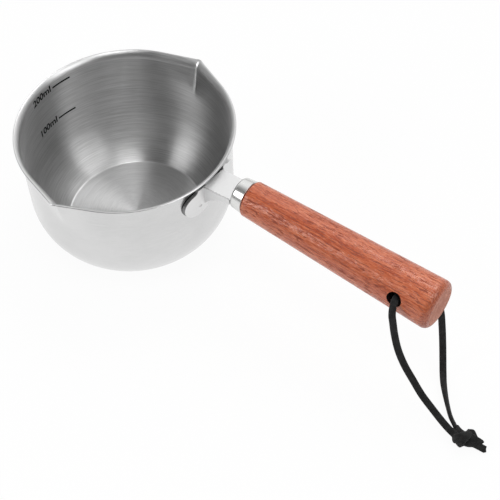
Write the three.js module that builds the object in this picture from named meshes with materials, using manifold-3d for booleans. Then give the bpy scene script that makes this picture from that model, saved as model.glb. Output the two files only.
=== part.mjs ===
// Butter warmer: a small pressed steel pot with two pouring lips, a bracket welded to its wall,
// and a tapered wooden grip with a cord loop to hang it by.
// Millimetres, +Z up. The origin is the middle of the pot's underside and the grip points along +X.

import * as THREE from 'three';
import { mergeVertices } from 'three/addons/utils/BufferGeometryUtils.js';
import Module from 'manifold-3d';

// Fits
const GAP = 0.3; // clearance between neighbouring pieces
const OVERSHOOT = 1; // how far a cutter runs past what it cuts, or a joined body into its neighbour
const WELD_TOLERANCE = 1e-4; // vertices closer than this are one

// Pot
const POT_HEIGHT = 49.7;
const RIM_RADIUS = 41.5; // over the lip
const BASE_RADIUS = 26.9; // of the flat underside
const POT_SHEET = 0.7;
const BASE_SLOPE = 31.5; // degrees, at which the belly leaves the base
const BASE_CREASE = 2; // radius of the crease round the base
const WALL_LEAN = 1.5; // degrees from upright
const LIP_CURL = 2.6; // radius of the flared lip
const LIP_SLOPE = 25; // degrees, at the lip's edge
const POT_SIDES = 72;
const CREASE_STEPS = 2;
const BELLY_STEPS = 7;
const WALL_STEPS = 5;
const LIP_STEPS = 3;

// Pouring lips
const SPOUT_ANGLE = 87.5; // degrees to each side of the grip
const SPOUT_REACH = 2.8; // how far the tip stands out from the rim
const SPOUT_DEPTH = 16; // how far down the wall the crease runs

// Handle axis
const AXIS_RISE = 0.9; // of the grip's axis over the rim, where it would cross the pot's axis
const DROOP = 3.4; // degrees, the grip's end hangs a little lower

// Bracket, its distances measured along the handle axis from the pot's axis
const BRACKET_SHEET = 1.2;
const BRACKET_WIDTH = 10.9;
const BRACKET_LAP = 1.5; // how far the web reaches in under the lip's edge
const BRACKET_LENGTH = 12.8; // from the web's start to the ferrule
const WEB_CLIMB = 0.1; // rise of the web against the axis, per millimetre towards the ferrule
const WEB_MIDDLE_DROP = 0.4; // of the web's middle under the axis
const WEB_SKEW = 1.5; // how much further the web's far corner stands off the wall
const FLANGE_DEPTH = 2.6; // at the ferrule
const EAR_RADIUS = 5.6; // round end of each ear
const EAR_REACH = 8.9; // from the middle plane to the ear's round end
const EAR_DROP = 9.3; // from the rim to the ear's round end
const EAR_SHOULDER = 8.2; // half width of the ears at their top
const EAR_TOP = 2; // below the rim
const NECK_TURN = 79; // degrees, where the neck's edge leaves the ear's round end
const NECK_HOLLOW = 0.6; // how far the neck's edge is drawn in
const WELD_RADIUS = 0.9; // dimple left by the spot weld
const WELD_DEPTH = 0.4;
const WELD_SIDE = 7.7;
const WELD_DROP = 10.5; // below the rim
const EAR_SIDES = 28;
const DIMPLE_SIDES = 10;
const SWEEP_STEPS = 6; // of the curved edges of each flange and ear

// Tang and its pin, inside the grip
const TANG_WIDTH = 6;
const TANG_LENGTH = 30;
const PIN_RADIUS = 0.9;
const PIN_SIDES = 12;

// Ferrule
const FERRULE_LENGTH = 5;
const FERRULE_FRONT_RADIUS = 6.1;
const FERRULE_BACK_RADIUS = 6.5;
const FERRULE_ROUND = 1.2;
const FERRULE_SHEET = 0.7;
const TURNED_SIDES = 40;
const ROUND_STEPS = 4;

// Grip
const GRIP_LENGTH = 80.1;
const GRIP_FRONT_RADIUS = 6.9;
const GRIP_END_RADIUS = 9.3;
const GRIP_FRONT_ROUND = 0.6;
const GRIP_END_ROUND = 2.6;
const CORD_HOLE_RADIUS = 2.9;
const CORD_HOLE_FROM_END = 13.75;
const CORD_HOLE_ROLL = 17; // degrees, the mouth towards -Y is the higher one
const HOLE_SIDES = 20;

// Hanging cord
const CORD_RADIUS = 1.15;
const CORD_SIDES = 8;
const CORD_STEP = 3.5; // length of one step of the tube

// Each run of the cord goes from the middle of the hole to the knot. Its places, and the knot's,
// are drawn for a hole at this distance and height.
const DRAWN_HOLE_DISTANCE = 124.23;
const DRAWN_HOLE_HEIGHT = 43.22;
const NEAR_RUN = [
  [124.2, -0.3, 43.2],
  [124.3, -4, 44.3],
  [124.7, -7.7, 45.5],
  [125.6, -10.7, 45.4],
  [126.5, -12.6, 43.4],
  [127.4, -13.3, 40.3],
  [128.8, -14.1, 35.1],
  [131.1, -15, 29],
  [134.2, -15.5, 23.1],
  [138.2, -15.9, 17.7],
  [142.5, -16.4, 12.5],
  [147, -16.9, 8.8],
  [151.3, -17.3, 5.4],
  [154.4, -17.7, 3.6],
  [157, -18.2, 3],
];
const FAR_RUN = [
  [124.2, 0.3, 43],
  [124.3, 4, 41.9],
  [124.6, 7.6, 40.7],
  [125.4, 10.7, 38.9],
  [126.9, 12.4, 35],
  [129.4, 12.6, 29],
  [132.2, 11.9, 22],
  [133.9, 10.6, 16],
  [136, 8.4, 8.8],
  [138.1, 5.6, 4.2],
  [140.2, 2.5, 2.1],
  [142.8, -1.3, 1.6],
  [146, -5.3, 1.6],
  [149.4, -9.1, 1.6],
  [152.7, -12.5, 2],
  [156.6, -15.4, 2.2],
];

// Knot, the strands of the cord that lie in it: both ends passing through, and their turns
const KNOT_STRANDS = [
  [
    [158.5, -18.7, 3.3], [161.5, -18.9, 3.5], [163.7, -18.2, 3.1],
    [165.6, -17.4, 2.3], [167.4, -16.9, 1.6], [169.1, -16.4, 1.3],
  ],
  [
    [158.4, -16.2, 3.2], [160.2, -17.2, 4], [161.3, -17.4, 4.4], [163.5, -16.7, 4.1],
    [165.5, -16.2, 3.2], [167.2, -15.7, 2.4],
  ],
  [
    [161.8, -14.4, 3.4], [162.2, -17.3, 5.2], [161.9, -19.7, 5], [160.8, -20.6, 2.6],
    [160.7, -20, 1.5], [161.5, -18, 1.2], [161.9, -15.2, 1.2], [162.2, -13.6, 1.9],
    [161.8, -14.4, 3.4],
  ],
  [
    [162.1, -16.1, 4.6], [161, -18.4, 5.3], [159.5, -19.6, 4.4], [158.4, -19.7, 2.6],
    [158.6, -19.3, 1.4], [160.1, -18.4, 1.2], [162.1, -17.7, 1.2],
  ],
  [
    [162, -19.3, 2.2], [163.5, -18.7, 1.8], [164.8, -17.8, 1.8], [165.5, -16.7, 2.2],
    [165.2, -15.9, 2.8], [163.9, -15, 3.4], [162.6, -14.2, 3.6], [161.6, -14.7, 3.6],
  ],
];
const STRAND_SIDES = 10;

// Worked out from the sizes above
const WALL_SLOPE = 90 - WALL_LEAN;
const AXIS_HEIGHT = POT_HEIGHT + AXIS_RISE;
const BRACKET_START = RIM_RADIUS - BRACKET_LAP;
const FERRULE_START = BRACKET_START + BRACKET_LENGTH;
const FERRULE_END = FERRULE_START + FERRULE_LENGTH;
const GRIP_START = FERRULE_END + GAP;
const GRIP_END = GRIP_START + GRIP_LENGTH;
const SPIGOT_START = FERRULE_START + FERRULE_SHEET + GAP;
const SPIGOT_RADIUS = FERRULE_FRONT_RADIUS - FERRULE_SHEET - GAP;
const PIN_PLACE = (SPIGOT_START + FERRULE_END) / 2;
const EAR_BOTTOM = POT_HEIGHT - EAR_DROP - EAR_RADIUS;
const HOLE_ALONG = GRIP_END - CORD_HOLE_FROM_END;

const wasm = await Module();
wasm.setup();

const rad = THREE.MathUtils.degToRad;

/** A closed body for boolean work, from a closed geometry. */
function solid(geometry) {
  const bare = geometry.clone();
  bare.deleteAttribute('normal');
  bare.deleteAttribute('uv');
  const welded = mergeVertices(bare, WELD_TOLERANCE);
  const corners = welded.index.array;
  const faces = [];
  for (let i = 0; i < corners.length; i += 3) {
    const face = corners.slice(i, i + 3);
    if (new Set(face).size === face.length) faces.push(...face);
  }
  return new wasm.Manifold(new wasm.Mesh({
    numProp: 3,
    vertProperties: new Float32Array(welded.attributes.position.array),
    triVerts: new Uint32Array(faces),
  }));
}

/** The geometry of a body. */
function geometryOf(body) {
  const { numProp, vertProperties, triVerts } = body.getMesh();
  const places = new THREE.InterleavedBuffer(new Float32Array(vertProperties), numProp);
  const geometry = new THREE.BufferGeometry();
  geometry.setAttribute('position', new THREE.InterleavedBufferAttribute(places, 3, 0));
  geometry.setIndex(new THREE.BufferAttribute(new Uint32Array(triVerts), 1));
  const faceted = geometry.toNonIndexed();
  faceted.computeVertexNormals();
  return faceted;
}

/** One body out of several that overlap. */
function joined(bodies) {
  return bodies.reduce((whole, body) => whole.add(body));
}

/** A named piece of the object. */
function piece(name, body, material) {
  const mesh = new THREE.Mesh(geometryOf(body), material);
  mesh.name = name;
  return mesh;
}

/** A profile of [radius, height] points turned about Z. */
function turnedAboutZ(profile) {
  const points = profile.map(([radius, height]) => new THREE.Vector2(radius, height));
  return new THREE.LatheGeometry(points, POT_SIDES).rotateX(Math.PI / 2);
}

/** A profile of [distance, radius] points turned about X. */
function turnedAboutX(profile) {
  const points = profile.map(([distance, radius]) => new THREE.Vector2(radius, distance));
  return new THREE.LatheGeometry(points, TURNED_SIDES).rotateZ(-Math.PI / 2);
}

/** A box between two corners. */
function box([x0, y0, z0], [x1, y1, z1]) {
  return new THREE.BoxGeometry(x1 - x0, y1 - y0, z1 - z0)
    .translate((x0 + x1) / 2, (y0 + y1) / 2, (z0 + z1) / 2);
}

/** A ball drawn out along X, Y and Z. */
function ball(middle, radii, sides) {
  return new THREE.SphereGeometry(1, sides, sides / 2).scale(...radii).translate(...middle);
}

/** A geometry drawn along X from the pot's axis, moved to the handle's axis. */
function onHandleAxis(geometry) {
  return geometry.rotateY(rad(DROOP)).translate(0, 0, AXIS_HEIGHT);
}

/** A quarter round for a turned profile, from one [distance, radius] point to the next. */
function quarterRound([distance, radius], [toDistance, toRadius], startsAlongAxis) {
  return Array.from({ length: ROUND_STEPS + 1 }, (_, i) => {
    const turn = (i / ROUND_STEPS) * (Math.PI / 2);
    const [along, across] = startsAlongAxis
      ? [Math.sin(turn), 1 - Math.cos(turn)]
      : [1 - Math.cos(turn), Math.sin(turn)];
    return [
      distance + (toDistance - distance) * along,
      radius + (toRadius - radius) * across,
    ];
  });
}

/** Points of an arc that goes on from a point, turning from one slope to another, in degrees. */
function arcFrom([radius, height], bend, fromSlope, toSlope, steps) {
  const side = Math.sign(toSlope - fromSlope) * bend;
  return Array.from({ length: steps }, (_, i) => {
    const slope = fromSlope + ((toSlope - fromSlope) * (i + 1)) / steps;
    return {
      point: [
        radius + side * (Math.sin(rad(slope)) - Math.sin(rad(fromSlope))),
        height + side * (Math.cos(rad(fromSlope)) - Math.cos(rad(slope))),
      ],
      slope,
    };
  });
}

/** Where the straight wall ends and the lip starts to flare, as [radius, height]. */
function lipFoot() {
  const span = LIP_CURL * (Math.sin(rad(WALL_SLOPE)) - Math.sin(rad(LIP_SLOPE)));
  const rise = LIP_CURL * (Math.cos(rad(LIP_SLOPE)) - Math.cos(rad(WALL_SLOPE)));
  const edge = POT_SHEET * Math.cos(rad(LIP_SLOPE));
  return [RIM_RADIUS - span, POT_HEIGHT - edge - rise];
}

/** The outside radius of the straight wall at a height. */
function wallRadius(height) {
  const [radius, top] = lipFoot();
  return radius - (top - height) * Math.tan(rad(WALL_LEAN));
}

/** The pot's outside, from the axis to the lip's edge, as points with their slopes. */
function potOutside() {
  const flat = [
    { point: [0, 0], slope: 0 },
    { point: [BASE_RADIUS - BASE_CREASE * Math.tan(rad(BASE_SLOPE / 2)), 0], slope: 0 },
  ];
  const crease = arcFrom(flat[1].point, BASE_CREASE, 0, BASE_SLOPE, CREASE_STEPS);
  const foot = crease.at(-1).point;
  const top = lipFoot();
  const across = (top[0] - foot[0]) * Math.sin(rad(WALL_SLOPE))
    - (top[1] - foot[1]) * Math.cos(rad(WALL_SLOPE));
  const bend = across / (1 - Math.cos(rad(WALL_SLOPE - BASE_SLOPE)));
  const belly = arcFrom(foot, bend, BASE_SLOPE, WALL_SLOPE, BELLY_STEPS);
  const shoulder = belly.at(-1).point;
  const wall = Array.from({ length: WALL_STEPS }, (_, i) => {
    const height = shoulder[1] + ((top[1] - shoulder[1]) * (i + 1)) / WALL_STEPS;
    return { point: [wallRadius(height), height], slope: WALL_SLOPE };
  });
  const lip = arcFrom(top, LIP_CURL, WALL_SLOPE, LIP_SLOPE, LIP_STEPS);
  return [...flat, ...crease, ...belly, ...wall, ...lip];
}

/** The pot's outside moved square to itself, inwards where the distance is positive. */
function offset(outside, distance) {
  return outside.map(({ point: [radius, height], slope }) => [
    Math.max(0, radius - distance * Math.sin(rad(slope))),
    height + distance * Math.cos(rad(slope)),
  ]);
}

/** Draws the two pouring lips out of a turned pot, each a sharp V that fades down the wall. */
function drawSpouts(geometry) {
  const places = geometry.attributes.position;
  const fade = POT_HEIGHT - SPOUT_DEPTH;
  for (let i = 0; i < places.count; i += 1) {
    const turned = Math.atan2(places.getY(i), places.getX(i));
    const radius = Math.hypot(places.getX(i), places.getY(i));
    const angle = columnAngle(turned);
    const share = THREE.MathUtils.clamp((places.getZ(i) - fade) / SPOUT_DEPTH, 0, 1);
    const halfWidth = Math.acos(1 / (1 + (SPOUT_REACH / RIM_RADIUS) * share));
    const fromTip = Math.abs(Math.abs(angle) - rad(SPOUT_ANGLE));
    const drawn = radius / Math.cos(Math.max(0, halfWidth - fromTip));
    places.setXY(i, drawn * Math.cos(angle), drawn * Math.sin(angle));
  }
  return geometry;
}

/** Spreads the turned columns so that one lies on the tip of each pouring lip. */
function columnAngle(turned) {
  const quarter = Math.PI / 2;
  const tip = rad(SPOUT_ANGLE);
  const size = Math.abs(turned);
  const spread = size <= quarter
    ? (size * tip) / quarter
    : tip + ((size - quarter) * (Math.PI - tip)) / quarter;
  return Math.sign(turned) * spread;
}

function potBody() {
  const outside = potOutside();
  const outer = outside.map(({ point }) => point);
  const inner = offset(outside, POT_SHEET).reverse();
  return solid(drawSpouts(turnedAboutZ([...outer, ...inner])));
}

/** All the room that the pot takes, filled, with a clearance round it. */
function potRoom() {
  const room = offset(potOutside(), -GAP);
  return solid(turnedAboutZ([...room, [0, room.at(-1)[1]]]));
}

/** Height of the web's upper face over the handle axis. */
function webHeight(along) {
  const middle = BRACKET_START + BRACKET_LENGTH / 2;
  return WEB_CLIMB * (along - middle) - WEB_MIDDLE_DROP;
}

/** A geometry drawn flat along X, tilted to the web's climb and moved to the handle's axis. */
function onWeb(geometry) {
  const tilt = new THREE.Matrix4().makeShear(0, WEB_CLIMB, 0, 0, 0, 0);
  return onHandleAxis(geometry.applyMatrix4(tilt).translate(0, 0, webHeight(0)));
}

/** The gap that opens between the wall and the web's front edge, as a block. */
function webGap() {
  const half = BRACKET_WIDTH / 2;
  const inner = BRACKET_START - 2 * BRACKET_SHEET;
  const outline = new THREE.Shape()
    .moveTo(inner, -half)
    .lineTo(BRACKET_START, -half)
    .lineTo(BRACKET_START + WEB_SKEW, half)
    .lineTo(BRACKET_START + WEB_SKEW, half + OVERSHOOT)
    .lineTo(inner, half + OVERSHOOT);
  const depth = 2 * BRACKET_SHEET + OVERSHOOT;
  return onWeb(
    new THREE.ExtrudeGeometry(outline, { depth, bevelEnabled: false })
      .translate(0, 0, OVERSHOOT - depth),
  );
}

/** The side plate of the bracket at y = 0, sweeping from the ferrule down to the ear. */
function flange() {
  const start = BRACKET_START - 2 * BRACKET_SHEET;
  const end = FERRULE_START - GAP;
  const axisAtPot = AXIS_HEIGHT - BRACKET_START * Math.sin(rad(DROOP));
  const deep = axisAtPot + webHeight(BRACKET_START) - EAR_BOTTOM - BRACKET_SHEET;
  const outline = new THREE.Shape()
    .moveTo(start, 0)
    .lineTo(start, -deep)
    .lineTo(BRACKET_START, -deep)
    .quadraticCurveTo((2 * BRACKET_START + end) / 3, -FLANGE_DEPTH, end, -FLANGE_DEPTH)
    .lineTo(end, 0);
  const depth = BRACKET_SHEET;
  return new THREE.ExtrudeGeometry(outline, {
    depth, bevelEnabled: false, curveSegments: SWEEP_STEPS,
  }).rotateX(Math.PI / 2);
}

/** One ear's outline seen along X, as a thick block, on the side of +Y or -Y. */
function earBlock(side) {
  const height = POT_HEIGHT - EAR_DROP;
  const top = POT_HEIGHT - EAR_TOP;
  const root = BRACKET_WIDTH / 2 - BRACKET_SHEET;
  const leaves = height + EAR_RADIUS * Math.sin(rad(NECK_TURN));
  const depth = RIM_RADIUS;
  const neck = new THREE.Shape()
    .moveTo(root, top)
    .lineTo(root, EAR_BOTTOM + BRACKET_SHEET)
    .lineTo(EAR_REACH, EAR_BOTTOM)
    .lineTo(EAR_REACH + EAR_RADIUS * Math.cos(rad(NECK_TURN)), leaves)
    .quadraticCurveTo(EAR_SHOULDER + NECK_HOLLOW, leaves + NECK_HOLLOW / 2, EAR_SHOULDER, top);
  const alongX = new THREE.Matrix4().set(
    0, 0, 1, 0,
    1, 0, 0, 0,
    0, 1, 0, 0,
    0, 0, 0, 1,
  );
  const block = solid(
    new THREE.ExtrudeGeometry(neck, {
      depth, bevelEnabled: false, curveSegments: SWEEP_STEPS,
    }).applyMatrix4(alongX),
  );
  const lobe = solid(
    new THREE.CylinderGeometry(EAR_RADIUS, EAR_RADIUS, depth, EAR_SIDES)
      .rotateZ(Math.PI / 2)
      .translate(depth / 2, EAR_REACH, height),
  );
  const whole = block.add(lobe).translate([RIM_RADIUS / 2, 0, 0]);
  return side > 0 ? whole : whole.mirror([0, 1, 0]);
}

/** A sheet that lies against the straight wall all round. */
function wallBand() {
  const top = POT_HEIGHT - EAR_TOP;
  const bottom = EAR_BOTTOM - OVERSHOOT;
  const inside = GAP;
  const outside = GAP + BRACKET_SHEET;
  return solid(turnedAboutZ([
    [wallRadius(bottom) + inside, bottom],
    [wallRadius(bottom) + outside, bottom],
    [wallRadius(top) + outside, top],
    [wallRadius(top) + inside, top],
    [wallRadius(bottom) + inside, bottom],
  ]));
}

/** The dimple of one spot weld, as the ball that makes it. */
function weldDimple(side) {
  const height = POT_HEIGHT - WELD_DROP;
  const radius = wallRadius(height) + GAP + BRACKET_SHEET + WELD_RADIUS - WELD_DEPTH;
  const forward = Math.sqrt(radius ** 2 - WELD_SIDE ** 2);
  const radii = [WELD_RADIUS, WELD_RADIUS, WELD_RADIUS];
  return solid(ball([forward, side * WELD_SIDE, height], radii, DIMPLE_SIDES));
}

/** The pin that crosses the tang, or a bore for it. */
function pinAlong(radius, halfLength) {
  return onHandleAxis(
    new THREE.CylinderGeometry(radius, radius, 2 * halfLength, PIN_SIDES)
      .rotateX(Math.PI / 2)
      .translate(PIN_PLACE, 0, 0),
  );
}

/** The tang, or with a clearance the slot that it goes through. */
function tang(clearance) {
  const side = TANG_WIDTH / 2 + clearance;
  return onHandleAxis(box(
    [FERRULE_START - GAP - OVERSHOOT, -side, -BRACKET_SHEET - clearance],
    [FERRULE_START + TANG_LENGTH + clearance, side, clearance],
  ));
}

function handleBracket() {
  const half = BRACKET_WIDTH / 2;
  const web = onWeb(box(
    [BRACKET_START, -half, -BRACKET_SHEET],
    [FERRULE_START - GAP, half, 0],
  ));
  const flanges = [half, BRACKET_SHEET - half].map(
    (side) => solid(onWeb(flange().translate(0, side, 0))),
  );
  const band = wallBand();
  const ears = [1, -1].map((side) => band.intersect(earBlock(side)));
  return joined([solid(web), solid(tang(0)), ...flanges, ...ears])
    .subtract(solid(webGap()))
    .subtract(potRoom())
    .subtract(solid(pinAlong(PIN_RADIUS + GAP, SPIGOT_RADIUS)))
    .subtract(weldDimple(1))
    .subtract(weldDimple(-1));
}

function tangPin() {
  return solid(pinAlong(PIN_RADIUS, SPIGOT_RADIUS - GAP));
}

function ferrule() {
  const front = FERRULE_FRONT_RADIUS;
  const back = FERRULE_BACK_RADIUS;
  const cup = turnedAboutX([
    [FERRULE_START, 0],
    ...quarterRound(
      [FERRULE_START, front - FERRULE_ROUND],
      [FERRULE_START + FERRULE_ROUND, front],
      false,
    ),
    [FERRULE_END, back],
    [FERRULE_END, back - FERRULE_SHEET],
    [FERRULE_START + FERRULE_SHEET, front - FERRULE_SHEET],
    [FERRULE_START + FERRULE_SHEET, 0],
  ]);
  return solid(onHandleAxis(cup)).subtract(solid(tang(GAP)));
}

/** The hole for the cord, as the rod that drills it. */
function cordHole() {
  return onHandleAxis(
    new THREE.CylinderGeometry(
      CORD_HOLE_RADIUS,
      CORD_HOLE_RADIUS,
      2 * (GRIP_END_RADIUS + OVERSHOOT),
      HOLE_SIDES,
    )
      .rotateX(-rad(CORD_HOLE_ROLL))
      .translate(HOLE_ALONG, 0, 0),
  );
}

function woodenGrip() {
  const turned = turnedAboutX([
    [SPIGOT_START, 0],
    [SPIGOT_START, SPIGOT_RADIUS],
    [GRIP_START, SPIGOT_RADIUS],
    ...quarterRound(
      [GRIP_START, GRIP_FRONT_RADIUS - GRIP_FRONT_ROUND],
      [GRIP_START + GRIP_FRONT_ROUND, GRIP_FRONT_RADIUS],
      false,
    ),
    ...quarterRound(
      [GRIP_END - GRIP_END_ROUND, GRIP_END_RADIUS],
      [GRIP_END, GRIP_END_RADIUS - GRIP_END_ROUND],
      true,
    ),
    [GRIP_END, 0],
  ]);
  return solid(onHandleAxis(turned))
    .subtract(solid(tang(GAP)))
    .subtract(solid(pinAlong(PIN_RADIUS + GAP, SPIGOT_RADIUS + OVERSHOOT)))
    .subtract(solid(cordHole()));
}

/** The middle of the cord's hole. */
function holeMiddle() {
  const turn = rad(DROOP);
  return [HOLE_ALONG * Math.cos(turn), 0, AXIS_HEIGHT - HOLE_ALONG * Math.sin(turn)];
}

/** A place on a drawn route, moved along with the hole and raised in step with it. */
function hung([x, y, z]) {
  const [distance, , height] = holeMiddle();
  return new THREE.Vector3(
    x + distance - DRAWN_HOLE_DISTANCE,
    y,
    (z * height) / DRAWN_HOLE_HEIGHT,
  );
}

/** A run of cord, a round tube along its route. */
function cordRun(route) {
  const path = new THREE.CatmullRomCurve3(route.map(hung));
  const section = new THREE.Shape(Array.from({ length: CORD_SIDES }, (_, i) => {
    const turn = (i / CORD_SIDES) * 2 * Math.PI;
    return new THREE.Vector2(CORD_RADIUS * Math.cos(turn), CORD_RADIUS * Math.sin(turn));
  }));
  const steps = Math.round(path.getLength() / CORD_STEP);
  return solid(new THREE.ExtrudeGeometry(section, { steps, extrudePath: path }));
}

/** One strand of the knot, round all along and at its ends. */
function knotStrand(route) {
  const radii = [CORD_RADIUS, CORD_RADIUS, CORD_RADIUS];
  const beads = route.map((middle) => solid(ball(middle, radii, STRAND_SIDES)));
  return joined(beads.slice(1).map((bead, i) => wasm.Manifold.hull([beads[i], bead])));
}

function cordKnot() {
  return joined(KNOT_STRANDS.map(knotStrand))
    .translate([holeMiddle()[0] - DRAWN_HOLE_DISTANCE, 0, 0]);
}

const brushedSteel = new THREE.MeshStandardMaterial({
  color: 0xc8c9ca, metalness: 1, roughness: 0.35,
});
const polishedSteel = new THREE.MeshStandardMaterial({
  color: 0xd6d6d4, metalness: 1, roughness: 0.15,
});
const redWood = new THREE.MeshStandardMaterial({
  color: 0xb9664b, metalness: 0, roughness: 0.55,
});
const blackCord = new THREE.MeshStandardMaterial({
  color: 0x1f1f1f, metalness: 0, roughness: 0.85,
});

const butterWarmer = new THREE.Group();
butterWarmer.name = 'butter_warmer';
butterWarmer.add(
  piece('pot_body', potBody(), brushedSteel),
  piece('handle_bracket', handleBracket(), brushedSteel),
  piece('tang_pin', tangPin(), polishedSteel),
  piece('ferrule', ferrule(), polishedSteel),
  piece('wooden_grip', woodenGrip(), redWood),
  piece('cord_near_run', cordRun(NEAR_RUN), blackCord),
  piece('cord_far_run', cordRun(FAR_RUN), blackCord),
  piece('cord_knot', cordKnot(), blackCord),
);

export default butterWarmer;
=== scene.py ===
"""Butter warmer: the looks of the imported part, built around its CAD frame.

Metres, in the frame of the CAD: the origin is the middle of the pot's underside, +Z is up and the
grip points along +X.
"""

from __future__ import annotations

import logging
from dataclasses import dataclass
from enum import Enum
from functools import cache, reduce
from math import acos, atan2, copysign, cos, degrees, hypot, pi, radians, sin, sqrt, tan
from operator import add
from typing import Any, Callable, Iterable, Mapping, Sequence, Union

import bmesh
import bpy
from bmesh.types import BMEdge, BMesh, BMFace, BMVert
from bpy.types import ColorRamp, Material, Mesh, Node, NodeSocket, Object, World
from mathutils import Matrix, Vector, noise


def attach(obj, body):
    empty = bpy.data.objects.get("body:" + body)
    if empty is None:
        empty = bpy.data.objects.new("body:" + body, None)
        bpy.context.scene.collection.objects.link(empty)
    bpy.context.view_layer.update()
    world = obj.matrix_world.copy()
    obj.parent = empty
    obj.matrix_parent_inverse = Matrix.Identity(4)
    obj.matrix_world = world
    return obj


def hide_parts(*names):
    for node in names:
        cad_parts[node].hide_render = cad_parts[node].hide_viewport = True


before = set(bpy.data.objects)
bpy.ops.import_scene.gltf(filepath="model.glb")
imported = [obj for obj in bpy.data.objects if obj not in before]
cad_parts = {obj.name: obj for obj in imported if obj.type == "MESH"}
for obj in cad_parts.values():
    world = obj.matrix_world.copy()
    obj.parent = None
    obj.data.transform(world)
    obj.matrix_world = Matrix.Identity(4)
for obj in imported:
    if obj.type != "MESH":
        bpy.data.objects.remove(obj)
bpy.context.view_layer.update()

LOG = logging.getLogger("butter_warmer")
MM = 0.001
WELD = 1e-6
NOISE_MIDDLE = 0.5

Color = tuple[float, float, float, float]
Place = tuple[float, float, float]
Pair = tuple[float, float]
Number = Union["Value", float]
Operator = Callable[["Value", Number], "Value"]


class Body(str, Enum):
    """The two bodies that the pieces ride on."""

    PAN = "pan"
    CORD_LOOP = "cord_loop"


class Slot(str, Enum):
    """The record's material slots."""

    BRUSHED = "brushed_steel"
    POLISHED = "polished_steel"
    WOOD = "wood"
    CORD = "cord"


def both_ways(operation: str) -> tuple[Operator, Operator]:
    """An operator of Value and its reflected form.

    Args:
        operation: the operation of the Math node that they add.

    Returns:
        The two methods.
    """

    def forward(self: Value, other: Number) -> Value:
        """The operation on this number and another."""
        return self.maths(operation, self, other)

    def reflected(self: Value, other: Number) -> Value:
        """The operation on another number and this one."""
        return self.maths(operation, other, self)

    return forward, reflected


class Value:
    """A number in a shader, on which Python's operators work."""

    def __init__(self, paint: Paint, socket: NodeSocket) -> None:
        """Keeps the socket that gives the number and the paint that it belongs to."""
        self.paint = paint
        self.socket = socket

    def maths(self, operation: str, *terms: Number) -> Value:
        """The result of a Math node with that operation, on its terms in order."""
        node = self.paint.node("ShaderNodeMath", dict(enumerate(terms)), operation=operation)
        return Value(self.paint, node.outputs[0])

    __add__, __radd__ = both_ways("ADD")
    __sub__, __rsub__ = both_ways("SUBTRACT")
    __mul__, __rmul__ = both_ways("MULTIPLY")
    __truediv__, __rtruediv__ = both_ways("DIVIDE")

    def length_with(self, other: Value) -> Value:
        """Length of the flat vector that has the two numbers as its sides."""
        return self.maths("SQRT", self * self + other * other)

    def or_more(self, other: Value) -> Value:
        """The larger of the two numbers."""
        return self.maths("MAXIMUM", self, other)

    def step(self, low: float, high: float) -> Value:
        """A smooth step.

        Args:
            low: the number at which the result is 0.
            high: the number at which the result is 1.

        Returns:
            A number from 0 to 1.
        """
        node = self.paint.node(
            "ShaderNodeMapRange",
            {"Value": self, "From Min": low, "From Max": high},
            interpolation_type="SMOOTHSTEP",
        )
        return Value(self.paint, node.outputs[0])


@dataclass(frozen=True)
class Grain:
    """Soft noise: its scale along X, Y and Z, its finer layers and their share, and its shift."""

    scale: Place
    detail: float = 2.0
    rough: float = 0.5
    shift: Place = (0.0, 0.0, 0.0)


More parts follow.
